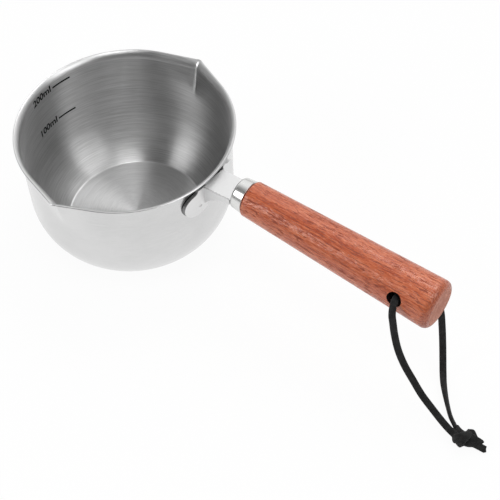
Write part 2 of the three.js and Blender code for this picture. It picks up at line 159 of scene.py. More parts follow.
class Paint:
    """The node graph of one material or world."""

    def __init__(self, owner: Material | World) -> None:
        """Empties the owner's node graph."""
        owner.use_nodes = True
        self.owner = owner
        self.tree = owner.node_tree
        self.tree.nodes.clear()

    @classmethod
    def material(cls, name: str) -> Paint:
        """A paint on a new material of that name."""
        return cls(bpy.data.materials.new(name))

    def node(
        self, kind: str, sockets: Mapping[Any, Any] | None = None, **settings: Any
    ) -> Node:
        """Adds a node.

        Args:
            kind: the node's type.
            sockets: a value, a Value or a socket to link for each input, by name or number.
            settings: its properties, set first; "stops" gives a ramp its places and colours.

        Returns:
            The node.
        """
        node = self.tree.nodes.new(kind)
        for key, setting in settings.items():
            if key == "stops":
                self._set_stops(node.color_ramp, setting)
            else:
                setattr(node, key, setting)
        for key, given in (sockets or {}).items():
            source = given.socket if isinstance(given, Value) else given
            if isinstance(source, NodeSocket):
                self.tree.links.new(source, node.inputs[key])
            else:
                node.inputs[key].default_value = source
        return node

    @staticmethod
    def _set_stops(ramp: ColorRamp, stops: Sequence[tuple[float, Color]]) -> None:
        """Gives a ramp its stops.

        Args:
            ramp: the ramp of a node.
            stops: place and colour of each stop, in order.
        """
        while len(ramp.elements) < len(stops):
            ramp.elements.new(1.0)
        for element, (place, color) in zip(ramp.elements, stops):
            element.position = place
            element.color = color

    def place(self) -> NodeSocket:
        """The place on the object, in its own coordinates."""
        return self.node("ShaderNodeTexCoord").outputs["Object"]

    def turned_place(self, origin: Place, turn: Place) -> NodeSocket:
        """The place on the object, measured in a frame of its own.

        Args:
            origin: where that frame has its origin.
            turn: how it is turned, in radians about X, Y and Z.

        Returns:
            The place in that frame.
        """
        sockets = {"Vector": self.place(), "Location": origin, "Rotation": turn}
        return self.node("ShaderNodeMapping", sockets, vector_type="TEXTURE").outputs[0]

    def split(self, vector: NodeSocket) -> list[Value]:
        """The three numbers of a vector."""
        node = self.node("ShaderNodeSeparateXYZ", {0: vector})
        return [Value(self, output) for output in node.outputs]

    def join(self, x: Number, y: Number, z: Number) -> NodeSocket:
        """A vector of three numbers."""
        return self.node("ShaderNodeCombineXYZ", {0: x, 1: y, 2: z}).outputs[0]

    def noise(self, place: NodeSocket, *grains: Grain) -> list[Value]:
        """Soft noises.

        Args:
            place: where they are read.
            grains: their kinds.

        Returns:
            For each of them, a number about 0.5.
        """
        found = []
        for grain in grains:
            sockets = {"Vector": place, "Location": grain.shift, "Scale": grain.scale}
            read = self.node("ShaderNodeMapping", sockets, vector_type="POINT").outputs[0]
            sockets = {"Vector": read, "Scale": 1.0}
            sockets |= {"Detail": grain.detail, "Roughness": grain.rough}
            found.append(Value(self, self.node("ShaderNodeTexNoise", sockets).outputs[0]))
        return found

    def mix(self, share: Number, low: Any, high: Any) -> NodeSocket:
        """A mix of two colours or their sockets, with a share of the second.

        Args:
            share: how much there is of the second colour.
            low: the first colour.
            high: the second colour.

        Returns:
            The mixed colour.
        """
        # The colours of a Mix node are its inputs 6 and 7 and its output 2.
        sockets = {0: share, 6: low, 7: high}
        return self.node("ShaderNodeMix", sockets, data_type="RGBA").outputs[2]

    def bump(
        self, height: Value, depth: float, strength: float, over: NodeSocket | None = None
    ) -> NodeSocket:
        """Relief on the surface.

        Args:
            height: the relief, from 0 to 1.
            depth: how deep a height of 1 is, in metres.
            strength: how much of it shows.
            over: the normal of a coarser relief, if there is one.

        Returns:
            The normal.
        """
        sockets = {"Height": height, "Distance": depth, "Strength": strength}
        if over is not None:
            sockets["Normal"] = over
        return self.node("ShaderNodeBump", sockets).outputs[0]

    def end(self, shader: Node) -> None:
        """Ends a material's graph in a shader."""
        self.node("ShaderNodeOutputMaterial", {0: shader.outputs[0]})


def blend(values: Iterable[Value], shares: Iterable[float]) -> Value:
    """The sum of numbers, each times its share."""
    return reduce(add, (value * share for value, share in zip(values, shares)))


@dataclass(frozen=True)
class Finish:
    """A finish, made as a procedural material when it is first used."""

    name: str

    @cache
    def material(self) -> Material:
        """The finish's material, the same one for all its pieces."""
        paint = Paint.material(self.name)
        paint.end(paint.node("ShaderNodeBsdfPrincipled", self.look(paint)))
        return paint.owner

    def look(self, paint: Paint) -> dict[str, Any]:
        """The values and links of the finish's surface shader."""
        raise NotImplementedError


@dataclass(frozen=True)
class TurnedSteel(Finish):
    """Steel brushed round the pot's axis, in long fine lines."""

    dark: Color
    light: Color
    roughness: float
    spread: float
    anisotropy: float
    depth: float
    coarse: Grain = Grain((1.1, 1.1, 300), 3)
    lines: Grain = Grain((2.2, 2.2, 1700), 3, 0.6)
    hair: Grain = Grain((6, 6, 5200))
    shares: Place = (0.2, 0.5, 0.3)
    relief_shares: Pair = (0.6, 0.4)
    relief: float = 0.3
    contrast: Pair = (0.38, 0.62)
    across_the_brushing: float = 0.25
    axis_guard: float = 1e-5

    def look(self, paint: Paint) -> dict[str, Any]:
        """Lines that run in circles round the axis.

        Args:
            paint: the finish's node graph.

        Returns:
            The values and links of its surface shader.
        """
        x, y, z = paint.split(paint.place())
        radius = x.length_with(y) + self.axis_guard
        around = paint.join(x / radius, y / radius, radius + z)
        coarse, *fine = paint.noise(around, self.coarse, self.lines, self.hair)
        streak = blend([coarse, *fine], self.shares)
        return {
            "Base Color": paint.mix(streak.step(*self.contrast), self.dark, self.light),
            "Metallic": 1.0,
            "Roughness": self.roughness + (streak - NOISE_MIDDLE) * self.spread,
            "Anisotropic": self.anisotropy,
            "Anisotropic Rotation": self.across_the_brushing,
            "Normal": paint.bump(blend(fine, self.relief_shares), self.depth, self.relief),
        }


@dataclass(frozen=True)
class SatinSteel(Finish):
    """Steel with an even satin finish of very fine marks in all directions."""

    dark: Color
    light: Color
    roughness: float
    spread: float
    depth: float
    cloud: Grain = Grain((38, 38, 38), 3)
    lines: Grain = Grain((180, 180, 3200), 3, 0.6)
    grit: Grain = Grain((6200, 6200, 6200))
    shares: Place = (0.5, 0.25, 0.25)
    relief_shares: Pair = (0.5, 0.5)
    relief: float = 0.2
    contrast: Pair = (0.35, 0.65)

    def look(self, paint: Paint) -> dict[str, Any]:
        """Soft clouds with fine lines and grit.

        Args:
            paint: the finish's node graph.

        Returns:
            The values and links of its surface shader.
        """
        cloud, *fine = paint.noise(paint.place(), self.cloud, self.lines, self.grit)
        mark = blend([cloud, *fine], self.shares)
        return {
            "Base Color": paint.mix(mark.step(*self.contrast), self.dark, self.light),
            "Metallic": 1.0,
            "Roughness": self.roughness + (mark - NOISE_MIDDLE) * self.spread,
            "Normal": paint.bump(blend(fine, self.relief_shares), self.depth, self.relief),
        }


@dataclass(frozen=True)
class RedWood(Finish):
    """Oiled reddish hardwood with its grain along the grip and short open pores."""

    deep: Color
    middle: Color
    pale: Color
    pore: Color
    end_dark: Color
    roughness: float
    axis_height: float
    droop: float
    end: float
    end_round: float
    sway: Grain = Grain((30, 70, 70))
    sway_reach: Pair = (0.003, 0.7)
    cloud: Grain = Grain((22, 60, 60), shift=(5.3, 0, 0))
    bands: Grain = Grain((14, 260, 170), 3, 0.6, (2.6, 0, 0))
    streaks: Grain = Grain((80, 1500, 1300), 3, 0.65)
    fibre: Grain = Grain((420, 3000, 3000))
    shares: tuple[float, ...] = (0.12, 0.16, 0.4, 0.32)
    shade_stops: Place = (0.4, 0.5, 0.6)
    short_pores: Grain = Grain((330, 1900, 1900), 1)
    long_pores: Grain = Grain((140, 1700, 1700), 1, shift=(0, 0, 3.7))
    gloss: Grain = Grain((520, 1700, 1700), 1)
    pore_step: Pair = (0.61, 0.68)
    pore_share: float = 0.62
    pore_depth: float = 0.00006
    pore_relief: float = 0.5
    pore_dullness: float = 0.45
    dark_dullness: float = 0.06
    gloss_depth: float = 0.00018
    gloss_relief: float = 0.7
    end_dark_span: Pair = (1.4, 0.5)
    end_dark_share: float = 0.45

    def look(self, paint: Paint) -> dict[str, Any]:
        """Streaks and pores along the grip, a speckled gloss and a darker end.

        Args:
            paint: the finish's node graph.

        Returns:
            The values and links of its surface shader.
        """
        place = paint.turned_place((0, 0, self.axis_height), (0, self.droop, 0))
        x, y, z = paint.split(place)
        reach, upward = self.sway_reach
        sway = (paint.noise(place, self.sway)[0] - NOISE_MIDDLE) * reach
        swayed = paint.join(x, y + sway, z + sway * upward)
        layers = paint.noise(swayed, self.cloud, self.bands, self.streaks, self.fibre)
        grain = blend(layers, self.shares)
        short, long, gloss = paint.noise(swayed, self.short_pores, self.long_pores, self.gloss)
        pits = (short.step(*self.pore_step) + long.step(*self.pore_step)).step(0.0, 1.0)
        stops = list(zip(self.shade_stops, (self.deep, self.middle, self.pale)))
        wood = paint.node("ShaderNodeValToRGB", {0: grain}, stops=stops).outputs[0]
        porous = paint.mix(pits * self.pore_share, wood, self.pore)
        # The colour darkens over the rounding at the grip's end.
        edge = x.step(*(self.end - share * self.end_round for share in self.end_dark_span))
        dull = (1 - grain) * self.dark_dullness + pits * self.pore_dullness
        relief = paint.bump(1 - pits, self.pore_depth, self.pore_relief)
        return {
            "Base Color": paint.mix(edge * self.end_dark_share, porous, self.end_dark),
            "Roughness": self.roughness + dull,
            "Specular IOR Level": 0.62,
            "Normal": paint.bump(gloss, self.gloss_depth, self.gloss_relief, relief),
        }


@dataclass(frozen=True)
class BareWood(Finish):
    """Wood without oil, cut across its grain: the grip's end, and the inside of its hole, whose
    near-black colours are painted shade.
    """

    low: Color
    high: Color
    rings: Grain = Grain((200, 500, 300))
    pores: Grain = Grain((300, 2400, 2400), 3, 0.6)
    shares: Pair = (0.4, 0.6)
    contrast: Pair = (0.38, 0.62)
    roughness: float = 0.75
    spread: float = 0.2
    depth: float = 0.00008
    relief: float = 0.4

    def look(self, paint: Paint) -> dict[str, Any]:
        """Soft rings and fine pores.

        Args:
            paint: the finish's node graph.

        Returns:
            The values and links of its surface shader.
        """
        rings, pores = paint.noise(paint.place(), self.rings, self.pores)
        shade = blend((rings, pores), self.shares)
        return {
            "Base Color": paint.mix(shade.step(*self.contrast), self.low, self.high),
            "Roughness": self.roughness + (pores - NOISE_MIDDLE) * self.spread,
            "Specular IOR Level": 0.2,
            "Normal": paint.bump(pores, self.depth, self.relief),
        }


@dataclass(frozen=True)
class SuedeLace(Finish):
    """Matt black suede, its nap mottled and a little lighter where it is rubbed."""

    low: Color
    high: Color
    roughness: float
    mottle: Grain = Grain((650, 650, 650), 3)
    nap: Grain = Grain((5200, 5200, 5200), 3, 0.65)
    shares: Pair = (0.55, 0.45)
    contrast: Pair = (0.38, 0.66)
    spread: float = 0.2
    depth: float = 0.00012
    relief: float = 0.5

    def look(self, paint: Paint) -> dict[str, Any]:
        """Mottled nap with a little sheen.

        Args:
            paint: the finish's node graph.

        Returns:
            The values and links of its surface shader.
        """
        mottle, nap = paint.noise(paint.place(), self.mottle, self.nap)
        shade = blend((mottle, nap), self.shares)
        return {
            "Base Color": paint.mix(shade.step(*self.contrast), self.low, self.high),
            "Roughness": self.roughness + (nap - NOISE_MIDDLE) * self.spread,
            "Specular IOR Level": 0.15,
            "Sheen Weight": 0.08,
            "Sheen Roughness": 0.6,
            "Normal": paint.bump(nap, self.depth, self.relief),
        }


@dataclass(frozen=True)
class MarkInk(Finish):
    """Dark print of the volume marks, a little worn."""

    ink: Color
    worn: Color
    wear: Grain = Grain((1800, 1800, 1800), 3)
    contrast: Pair = (0.5, 0.75)
    roughness: float = 0.6
    spread: float = 0.2

    def look(self, paint: Paint) -> dict[str, Any]:
        """Ink with paler worn spots.

        Args:
            paint: the finish's node graph.

        Returns:
            The values and links of its surface shader.
        """
        wear = paint.noise(paint.place(), self.wear)[0]
        return {
            "Base Color": paint.mix(wear.step(*self.contrast), self.ink, self.worn),
            "Roughness": self.roughness + wear * self.spread,
            "Specular IOR Level": 0.2,
        }


def grey(level: float) -> Color:
    """A grey of that level."""
    return level, level, level, 1.0


WHITE = grey(1.0)
INSIDE_STEEL = TurnedSteel(
    "brushed_steel_inside",
    grey(0.5),
    grey(0.64),
    roughness=0.37,
    spread=0.2,
    anisotropy=0.955,
    depth=0.00003,
)
FLOOR_STEEL = TurnedSteel(
    "brushed_steel_floor",
    grey(0.58),
    grey(0.66),
    roughness=0.43,
    spread=0.12,
    anisotropy=0.84,
    depth=0.00002,
)
# Lighter steel of the lip, also laid on the ring round the floor as a painted highlight line.
LIP_AND_RING_HIGHLIGHT_STEEL = TurnedSteel(
    "brushed_steel_lip_and_ring_highlight",
    grey(0.62),
    grey(0.74),
    roughness=0.37,
    spread=0.15,
    anisotropy=0.7,
    depth=0.00001,
)
OUTSIDE_STEEL = SatinSteel(
    "satin_steel_outside", grey(0.61), grey(0.69), roughness=0.22, spread=0.1, depth=0.00001
)
BRACKET_STEEL = SatinSteel(
    "satin_steel_bracket", grey(0.7), grey(0.78), roughness=0.4, spread=0.1, depth=0.00001
)
# Darker grey steel, painted shade on the bracket's sheet edges by the wall.
EDGE_SHADE_STEEL = SatinSteel(
    "edge_steel_painted_shade", grey(0.2), grey(0.36), roughness=0.45, spread=0.2, depth=0.00002
)
SEAM_STEEL = SatinSteel(
    "ground_steel_seam", grey(0.4), grey(0.66), roughness=0.5, spread=0.2, depth=0.00002
)
# Near-black steel, painted shade: the strip of wall behind the bracket and the bracket's faces
# that look at the wall.
PAINTED_SHADE_STEEL = SatinSteel(
    "painted_shade_steel", grey(0.03), grey(0.07), roughness=0.55, spread=0.2, depth=0.00002
)
FERRULE_STEEL = SatinSteel(
    "polished_steel_ferrule",
    (0.7, 0.7, 0.69, 1),
    (0.78, 0.78, 0.77, 1),
    roughness=0.25,
    spread=0.08,
    depth=0.000003,
)
CORD_SUEDE = SuedeLace("black_suede", grey(0.01), grey(0.024), roughness=0.9)
# Near-black wood for the hole's walls: painted shade.
HOLE_SHADE_WOOD = BareWood("bored_wood_painted_shade", (0.008, 0.005, 0.004, 1), (0.028, 0.011, 0.008, 1))
END_WOOD = BareWood("sawn_wood", (0.42, 0.165, 0.115, 1), (0.6, 0.29, 0.215, 1))
MARKS = MarkInk("mark_ink", grey(0.012), grey(0.03))


def piece_from(bm: BMesh, name: str, sharp: float = 35.0) -> Object:
    """Makes an object of a finished bmesh, smooth but for its sharp edges.

    Args:
        bm: the bmesh, which is freed.
        name: the object's name.
        sharp: edges that bend more than this stay sharp, in degrees.

    Returns:
        The object, at the origin.
    """
    mesh = bpy.data.meshes.new(name)
    bm.to_mesh(mesh)
    bm.free()
    mesh.shade_smooth()
    mesh.set_sharp_from_angle(angle=radians(sharp))
    piece = bpy.data.objects.new(name, mesh)
    bpy.context.scene.collection.objects.link(piece)
    return piece


def bmesh_of(mesh: Mesh) -> BMesh:
    """A new bmesh of a mesh.

    Args:
        mesh: the mesh, which stays as it is.

    Returns:
        The bmesh.
    """
    bm = bmesh.new()
    bm.from_mesh(mesh)
    return bm


def quarter(steps: int) -> list[Pair]:
    """Cosine and sine at each step of a quarter turn."""
    turns = (pi / 2 * i / steps for i in range(steps + 1))
    return [(cos(turn), sin(turn)) for turn in turns]


def turned(profile: Iterable[Vector], axis: Vector, steps: int) -> BMesh:
    """Turns a profile all the way round an axis through the origin.

    Args:
        profile: its points, from the axis back to the axis.
        axis: the axis.
        steps: how many steps the turn has.

    Returns:
        The closed shell.
    """
    bm = bmesh.new()
    verts = [bm.verts.new(point) for point in profile]
    edges = [bm.edges.new(pair) for pair in zip(verts, verts[1:])]
    bmesh.ops.spin(
        bm,
        geom=[*verts, *edges],
        cent=(0, 0, 0),
        axis=axis,
        angle=2 * pi,
        steps=steps,
        use_merge=True,
    )
    bmesh.ops.remove_doubles(bm, verts=bm.verts[:], dist=WELD)
    bmesh.ops.recalc_face_normals(bm, faces=bm.faces[:])
    return bm


def drawn(bm: BMesh, sections: Sequence[Matrix]) -> BMesh:
    """Draws a flat outline through sections, each grown out of the one before.

    Args:
        bm: the outline, round the origin in XY.
        sections: the frames of the sections.

    Returns:
        The closed shape.
    """
    bmesh.ops.transform(bm, matrix=sections[0], verts=bm.verts[:])
    ring = bm.edges[:]
    for before, after in zip(sections, sections[1:]):
        grown = bmesh.ops.extrude_edge_only(bm, edges=ring)["geom"]
        verts = [part for part in grown if isinstance(part, BMVert)]
        ring = [part for part in grown if isinstance(part, BMEdge)]
        bmesh.ops.transform(bm, matrix=after @ before.inverted(), verts=verts)
    ends = [edge for edge in bm.edges if edge.is_boundary]
    bmesh.ops.holes_fill(bm, edges=ends, sides=len(ring))
    bmesh.ops.recalc_face_normals(bm, faces=bm.faces[:])
    return bm


def round_edges(bm: BMesh, edges: Sequence[BMEdge], width: float, strips: int) -> None:
    """Rounds edges off.

    Args:
        bm: the bmesh.
        edges: the edges to round.
        width: how far the rounding goes on each side.
        strips: how many strips of faces it has.
    """
    bmesh.ops.bevel(
        bm,
        geom=edges,
        offset=width,
        offset_type="OFFSET",
        segments=strips,
        profile=0.5,
        affect="EDGES",
        material=-1,
        clamp_overlap=True,
    )


def baked_mesh(piece: Object) -> Mesh:
    """The piece's mesh with its modifiers applied."""
    graph = bpy.context.evaluated_depsgraph_get()
    return bpy.data.meshes.new_from_object(piece.evaluated_get(graph))


def bake(piece: Object) -> None:
    """Applies a piece's modifiers.

    Args:
        piece: the piece, whose mesh is replaced.
    """
    mesh = baked_mesh(piece)
    piece.modifiers.clear()
    piece.data = mesh


def cut(piece: Object, cutter: BMesh, finish: int = 0) -> None:
    """Takes a cutter's shape out of a piece.

    Args:
        piece: the piece, whose mesh is replaced.
        cutter: the closed shape to take away, which is freed.
        finish: the number of the finish that the cut faces get.
    """
    for face in cutter.faces:
        face.material_index = finish
    tool = piece_from(cutter, piece.name + "_cutter")
    modifier = piece.modifiers.new("cut", "BOOLEAN")
    modifier.operation = "DIFFERENCE"
    modifier.solver = "EXACT"
    modifier.object = tool
    bake(piece)
    bpy.data.objects.remove(tool)


def settle(
    piece: Object, body: Body, finishes: Iterable[Finish], stands_for: str = ""
) -> None:
    """Dresses a piece and lets it ride on its body.

    Args:
        piece: the piece, in place.
        body: the body that it moves with.
        finishes: its finishes, in the order of its faces' numbers.
        stands_for: the CAD node that it replaces, if it replaces one.
    """
    if stands_for:
        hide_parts(stands_for)
    for finish in finishes:
        piece.data.materials.append(finish.material())
    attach(piece, body.value)
    LOG.info("%s: %d faces on %s", piece.name, len(piece.data.polygons), body.value)


def direction(azimuth: float, elevation: float) -> Vector:
    """A direction from its azimuth and elevation, in degrees."""
    turn, rise = radians(azimuth), radians(elevation)
    return Vector((cos(rise) * cos(turn), cos(rise) * sin(turn), sin(rise)))


@dataclass(frozen=True)
class SoftBox:
    """A square soft box: azimuth and elevation in degrees, distance, side and power in watts."""

    name: str
    way: Pair
    distance: float
    side: float
    power: float


@dataclass
class Studio:
    """Camera, pale floor and soft studio light."""

    camera_place: Place = (0.28851, -0.28951, 0.47925)
    camera_aim: Place = (-0.3885, 0.4905, -0.7801)
    camera_roll: float = 3.24
    lens: float = 113.93
    sensor: float = 36.0
    shift: Pair = (-0.0124, -0.0016)
    nearest: float = 0.01
    floor_size: float = 4.0
    floor_drop: float = 0.0002
    floor_color: Color = grey(0.95)
    floor_white: float = 0.94
    surround: float = 0.31
    back_wall: Pair = (120.0, 52.0)
    back_step: Pair = (0.45, 0.92)
    back_gain: float = 0.74
    dim_side: Pair = (-85.0, 50.0)
    dim_step: Pair = (0.3, 0.8)
    dim_share: float = 0.76
    lamp_aim: Place = (0.02, 0.0, 0.03)
    boxes: tuple[SoftBox, ...] = (
        SoftBox("right_box", (4.5, 44.0), distance=1.2, side=0.68, power=3.3),
        SoftBox("left_box", (236.0, 34.0), distance=1.2, side=0.5, power=4.15),
        SoftBox("top_box", (-45.0, 76.0), distance=1.3, side=0.44, power=3.0),
        SoftBox("back_box", (95.0, 60.0), distance=1.3, side=0.4, power=1.8),
    )

    def build(self) -> None:
        """Sets up everything round the object."""
        self._camera()
        self._world()
        for box in self.boxes:
            self._light(box)
        self._floor()
        bpy.context.scene.view_settings.view_transform = "Standard"

    def _camera(self) -> None:
        """Places the camera of the photograph's view."""
        data = bpy.data.cameras.new("camera")
        data.lens = self.lens
        data.sensor_fit = "HORIZONTAL"
        data.sensor_width = self.sensor
        data.shift_x, data.shift_y = self.shift
        data.clip_start = self.nearest
        camera = bpy.data.objects.new("camera", data)
        bpy.context.scene.collection.objects.link(camera)
        aim = Vector(self.camera_aim).normalized()
        level = aim.cross(Vector((0, 0, 1))).normalized()
        upright = level.cross(aim)
        roll = radians(self.camera_roll)
        right = level * cos(roll) - upright * sin(roll)
        up = upright * cos(roll) + level * sin(roll)
        turn = Matrix((right, up, -aim)).transposed().to_4x4()
        camera.matrix_world = Matrix.Translation(self.camera_place) @ turn
        bpy.context.scene.camera = camera

    def _world(self) -> None:
        """A soft surround, bright behind the object and dim in front of it and overhead."""
        world = bpy.data.worlds.new("surround")
        paint = Paint(world)
        ray = paint.split(paint.node("ShaderNodeTexCoord").outputs["Generated"])

        def towards(way: Pair, step: Pair) -> Value:
            """How near a ray comes to a direction, as a smooth step."""
            x, y, z = (part * share for part, share in zip(ray, direction(*way)))
            return (x + y + z).step(*step)

        back = towards(self.back_wall, self.back_step) * self.back_gain
        dim = towards(self.dim_side, self.dim_step) * self.dim_share
        light = (back + self.surround) * (1 - dim)
        shader = paint.node("ShaderNodeBackground", {"Color": WHITE, "Strength": light})
        paint.node("ShaderNodeOutputWorld", {0: shader.outputs[0]})
        bpy.context.scene.world = world

    def _light(self, box: SoftBox) -> None:
        """Hangs a soft box and aims it at the pot.

        Args:
            box: the soft box.
        """
        data = bpy.data.lights.new(box.name, "AREA")
        data.shape = "SQUARE"
        data.size = box.side
        data.energy = box.power
        lamp = bpy.data.objects.new(box.name, data)
        lamp.location = direction(*box.way) * box.distance
        aim = Vector(self.lamp_aim) - lamp.location
        lamp.rotation_euler = aim.to_track_quat("-Z", "Y").to_euler()
        bpy.context.scene.collection.objects.link(lamp)

    def _floor(self) -> None:
        """A pale floor, white to the eye, that keeps the object's shadow."""
        bm = bmesh.new()
        bmesh.ops.create_grid(bm, x_segments=1, y_segments=1, size=self.floor_size / 2)
        bmesh.ops.translate(bm, vec=(0, 0, -self.floor_drop), verts=bm.verts[:])
        floor = piece_from(bm, "floor")
        paint = Paint.material("pale_floor")
        light = paint.node("ShaderNodeLightPath")
        seen, shiny, through = (
            Value(paint, light.outputs[f"Is {kind} Ray"])
            for kind in ("Camera", "Glossy", "Transmission")
        )
        share = seen.or_more(shiny).or_more(through) * self.floor_white
        matt = paint.node("ShaderNodeBsdfDiffuse", {"Color": self.floor_color})
        white = paint.node("ShaderNodeEmission", {"Color": WHITE, "Strength": 1.0})
        sockets = {0: share, 1: matt.outputs[0], 2: white.outputs[0]}
        paint.end(paint.node("ShaderNodeMixShader", sockets))
        paint.owner.cycles.emission_sampling = "NONE"
        floor.data.materials.append(paint.owner)


@dataclass
class HandleAxis:
    """The slanting axis that bracket, ferrule and grip share."""

    height: float = 0.0506
    droop: float = radians(3.4)

    def matrix(self) -> Matrix:
        """Takes a shape drawn along X from the pot's axis to the handle's axis."""
        return Matrix.Translation((0, 0, self.height)) @ Matrix.Rotation(self.droop, 4, "Y")

    def seat(self, piece: Object, sharp: float) -> None:
        """Moves a piece drawn along X to the axis and marks its sharp edges, in degrees."""
        piece.data.transform(self.matrix())
        piece.data.set_sharp_from_angle(angle=radians(sharp))


@dataclass(frozen=True)
class Run:
    """One run of the cord: its route in millimetres, where it leaves the hole and its twist."""

    name: str
    node: str
    leaves: Place
    twist: float
    route: tuple[Place, ...]


@dataclass(frozen=True)
class Strand:
    """One strand of the knot, its places in millimetres."""

    route: tuple[Place, ...]
    wraps: bool = True
    slant: float = 0.0
    taper: float = 1.0


# fmt: off
NEAR_ROUTE = (
    (124.2, -0.3, 43.2), (124.3, -4.0, 44.3), (124.7, -7.7, 45.5), (125.6, -10.7, 45.4),
    (126.5, -12.6, 43.4), (127.4, -13.3, 40.3), (128.8, -14.1, 35.1), (131.1, -15.0, 29.0),
    (134.2, -15.5, 23.1), (138.2, -15.9, 17.7), (142.5, -16.4, 12.5), (147.0, -16.9, 8.8),
    (151.3, -17.3, 5.4), (154.4, -17.7, 3.6), (157.0, -18.2, 3.0),
)
FAR_ROUTE = (
    (124.2, 0.3, 43.0), (124.3, 4.0, 41.9), (124.6, 7.6, 40.7), (125.4, 10.7, 38.9),
    (126.9, 12.4, 35.0), (129.4, 12.6, 29.0), (132.2, 11.9, 22.0), (133.9, 10.6, 16.0),
    (136.0, 8.4, 8.8), (138.1, 5.6, 4.2), (140.2, 2.5, 2.1), (142.8, -1.3, 1.6),
    (146.0, -5.3, 1.6), (149.4, -9.1, 1.6), (152.7, -12.5, 2.0), (156.6, -15.4, 2.2),
)
NEAR_TAIL = (
    (156.6, -18.1, 3.0), (159.0, -18.9, 3.4), (161.5, -18.9, 3.5), (163.7, -18.2, 3.1),
    (165.6, -17.4, 2.3), (167.4, -16.9, 1.6), (169.6, -16.5, 1.0),
)
FAR_TAIL = (
    (156.3, -15.2, 2.2), (158.6, -16.6, 3.3), (161.3, -17.4, 4.4), (163.5, -16.7, 4.1),
    (165.5, -16.2, 3.2), (167.3, -15.8, 2.3),
)
WHOLE_TURN = (
    (161.8, -14.4, 3.4), (162.2, -17.3, 5.2), (161.9, -19.7, 5.0), (160.8, -20.6, 2.6),
    (160.7, -20.0, 1.5), (161.5, -18.0, 1.2), (161.9, -15.2, 1.2), (162.2, -13.6, 1.9),
    (161.8, -14.4, 3.4),
)
CROSSING_TURN = (
    (162.1, -16.1, 4.6), (161.0, -18.4, 5.3), (159.5, -19.6, 4.4), (158.4, -19.7, 2.6),
    (158.6, -19.3, 1.4), (160.1, -18.4, 1.2), (162.1, -17.7, 1.2),
)
LOW_TURN = (
    (162.0, -19.3, 2.2), (163.5, -18.7, 1.8), (164.8, -17.8, 1.8), (165.5, -16.7, 2.2),
    (165.2, -15.9, 2.8), (163.9, -15.0, 3.4), (162.6, -14.2, 3.6), (161.6, -14.7, 3.6),
)
# fmt: on


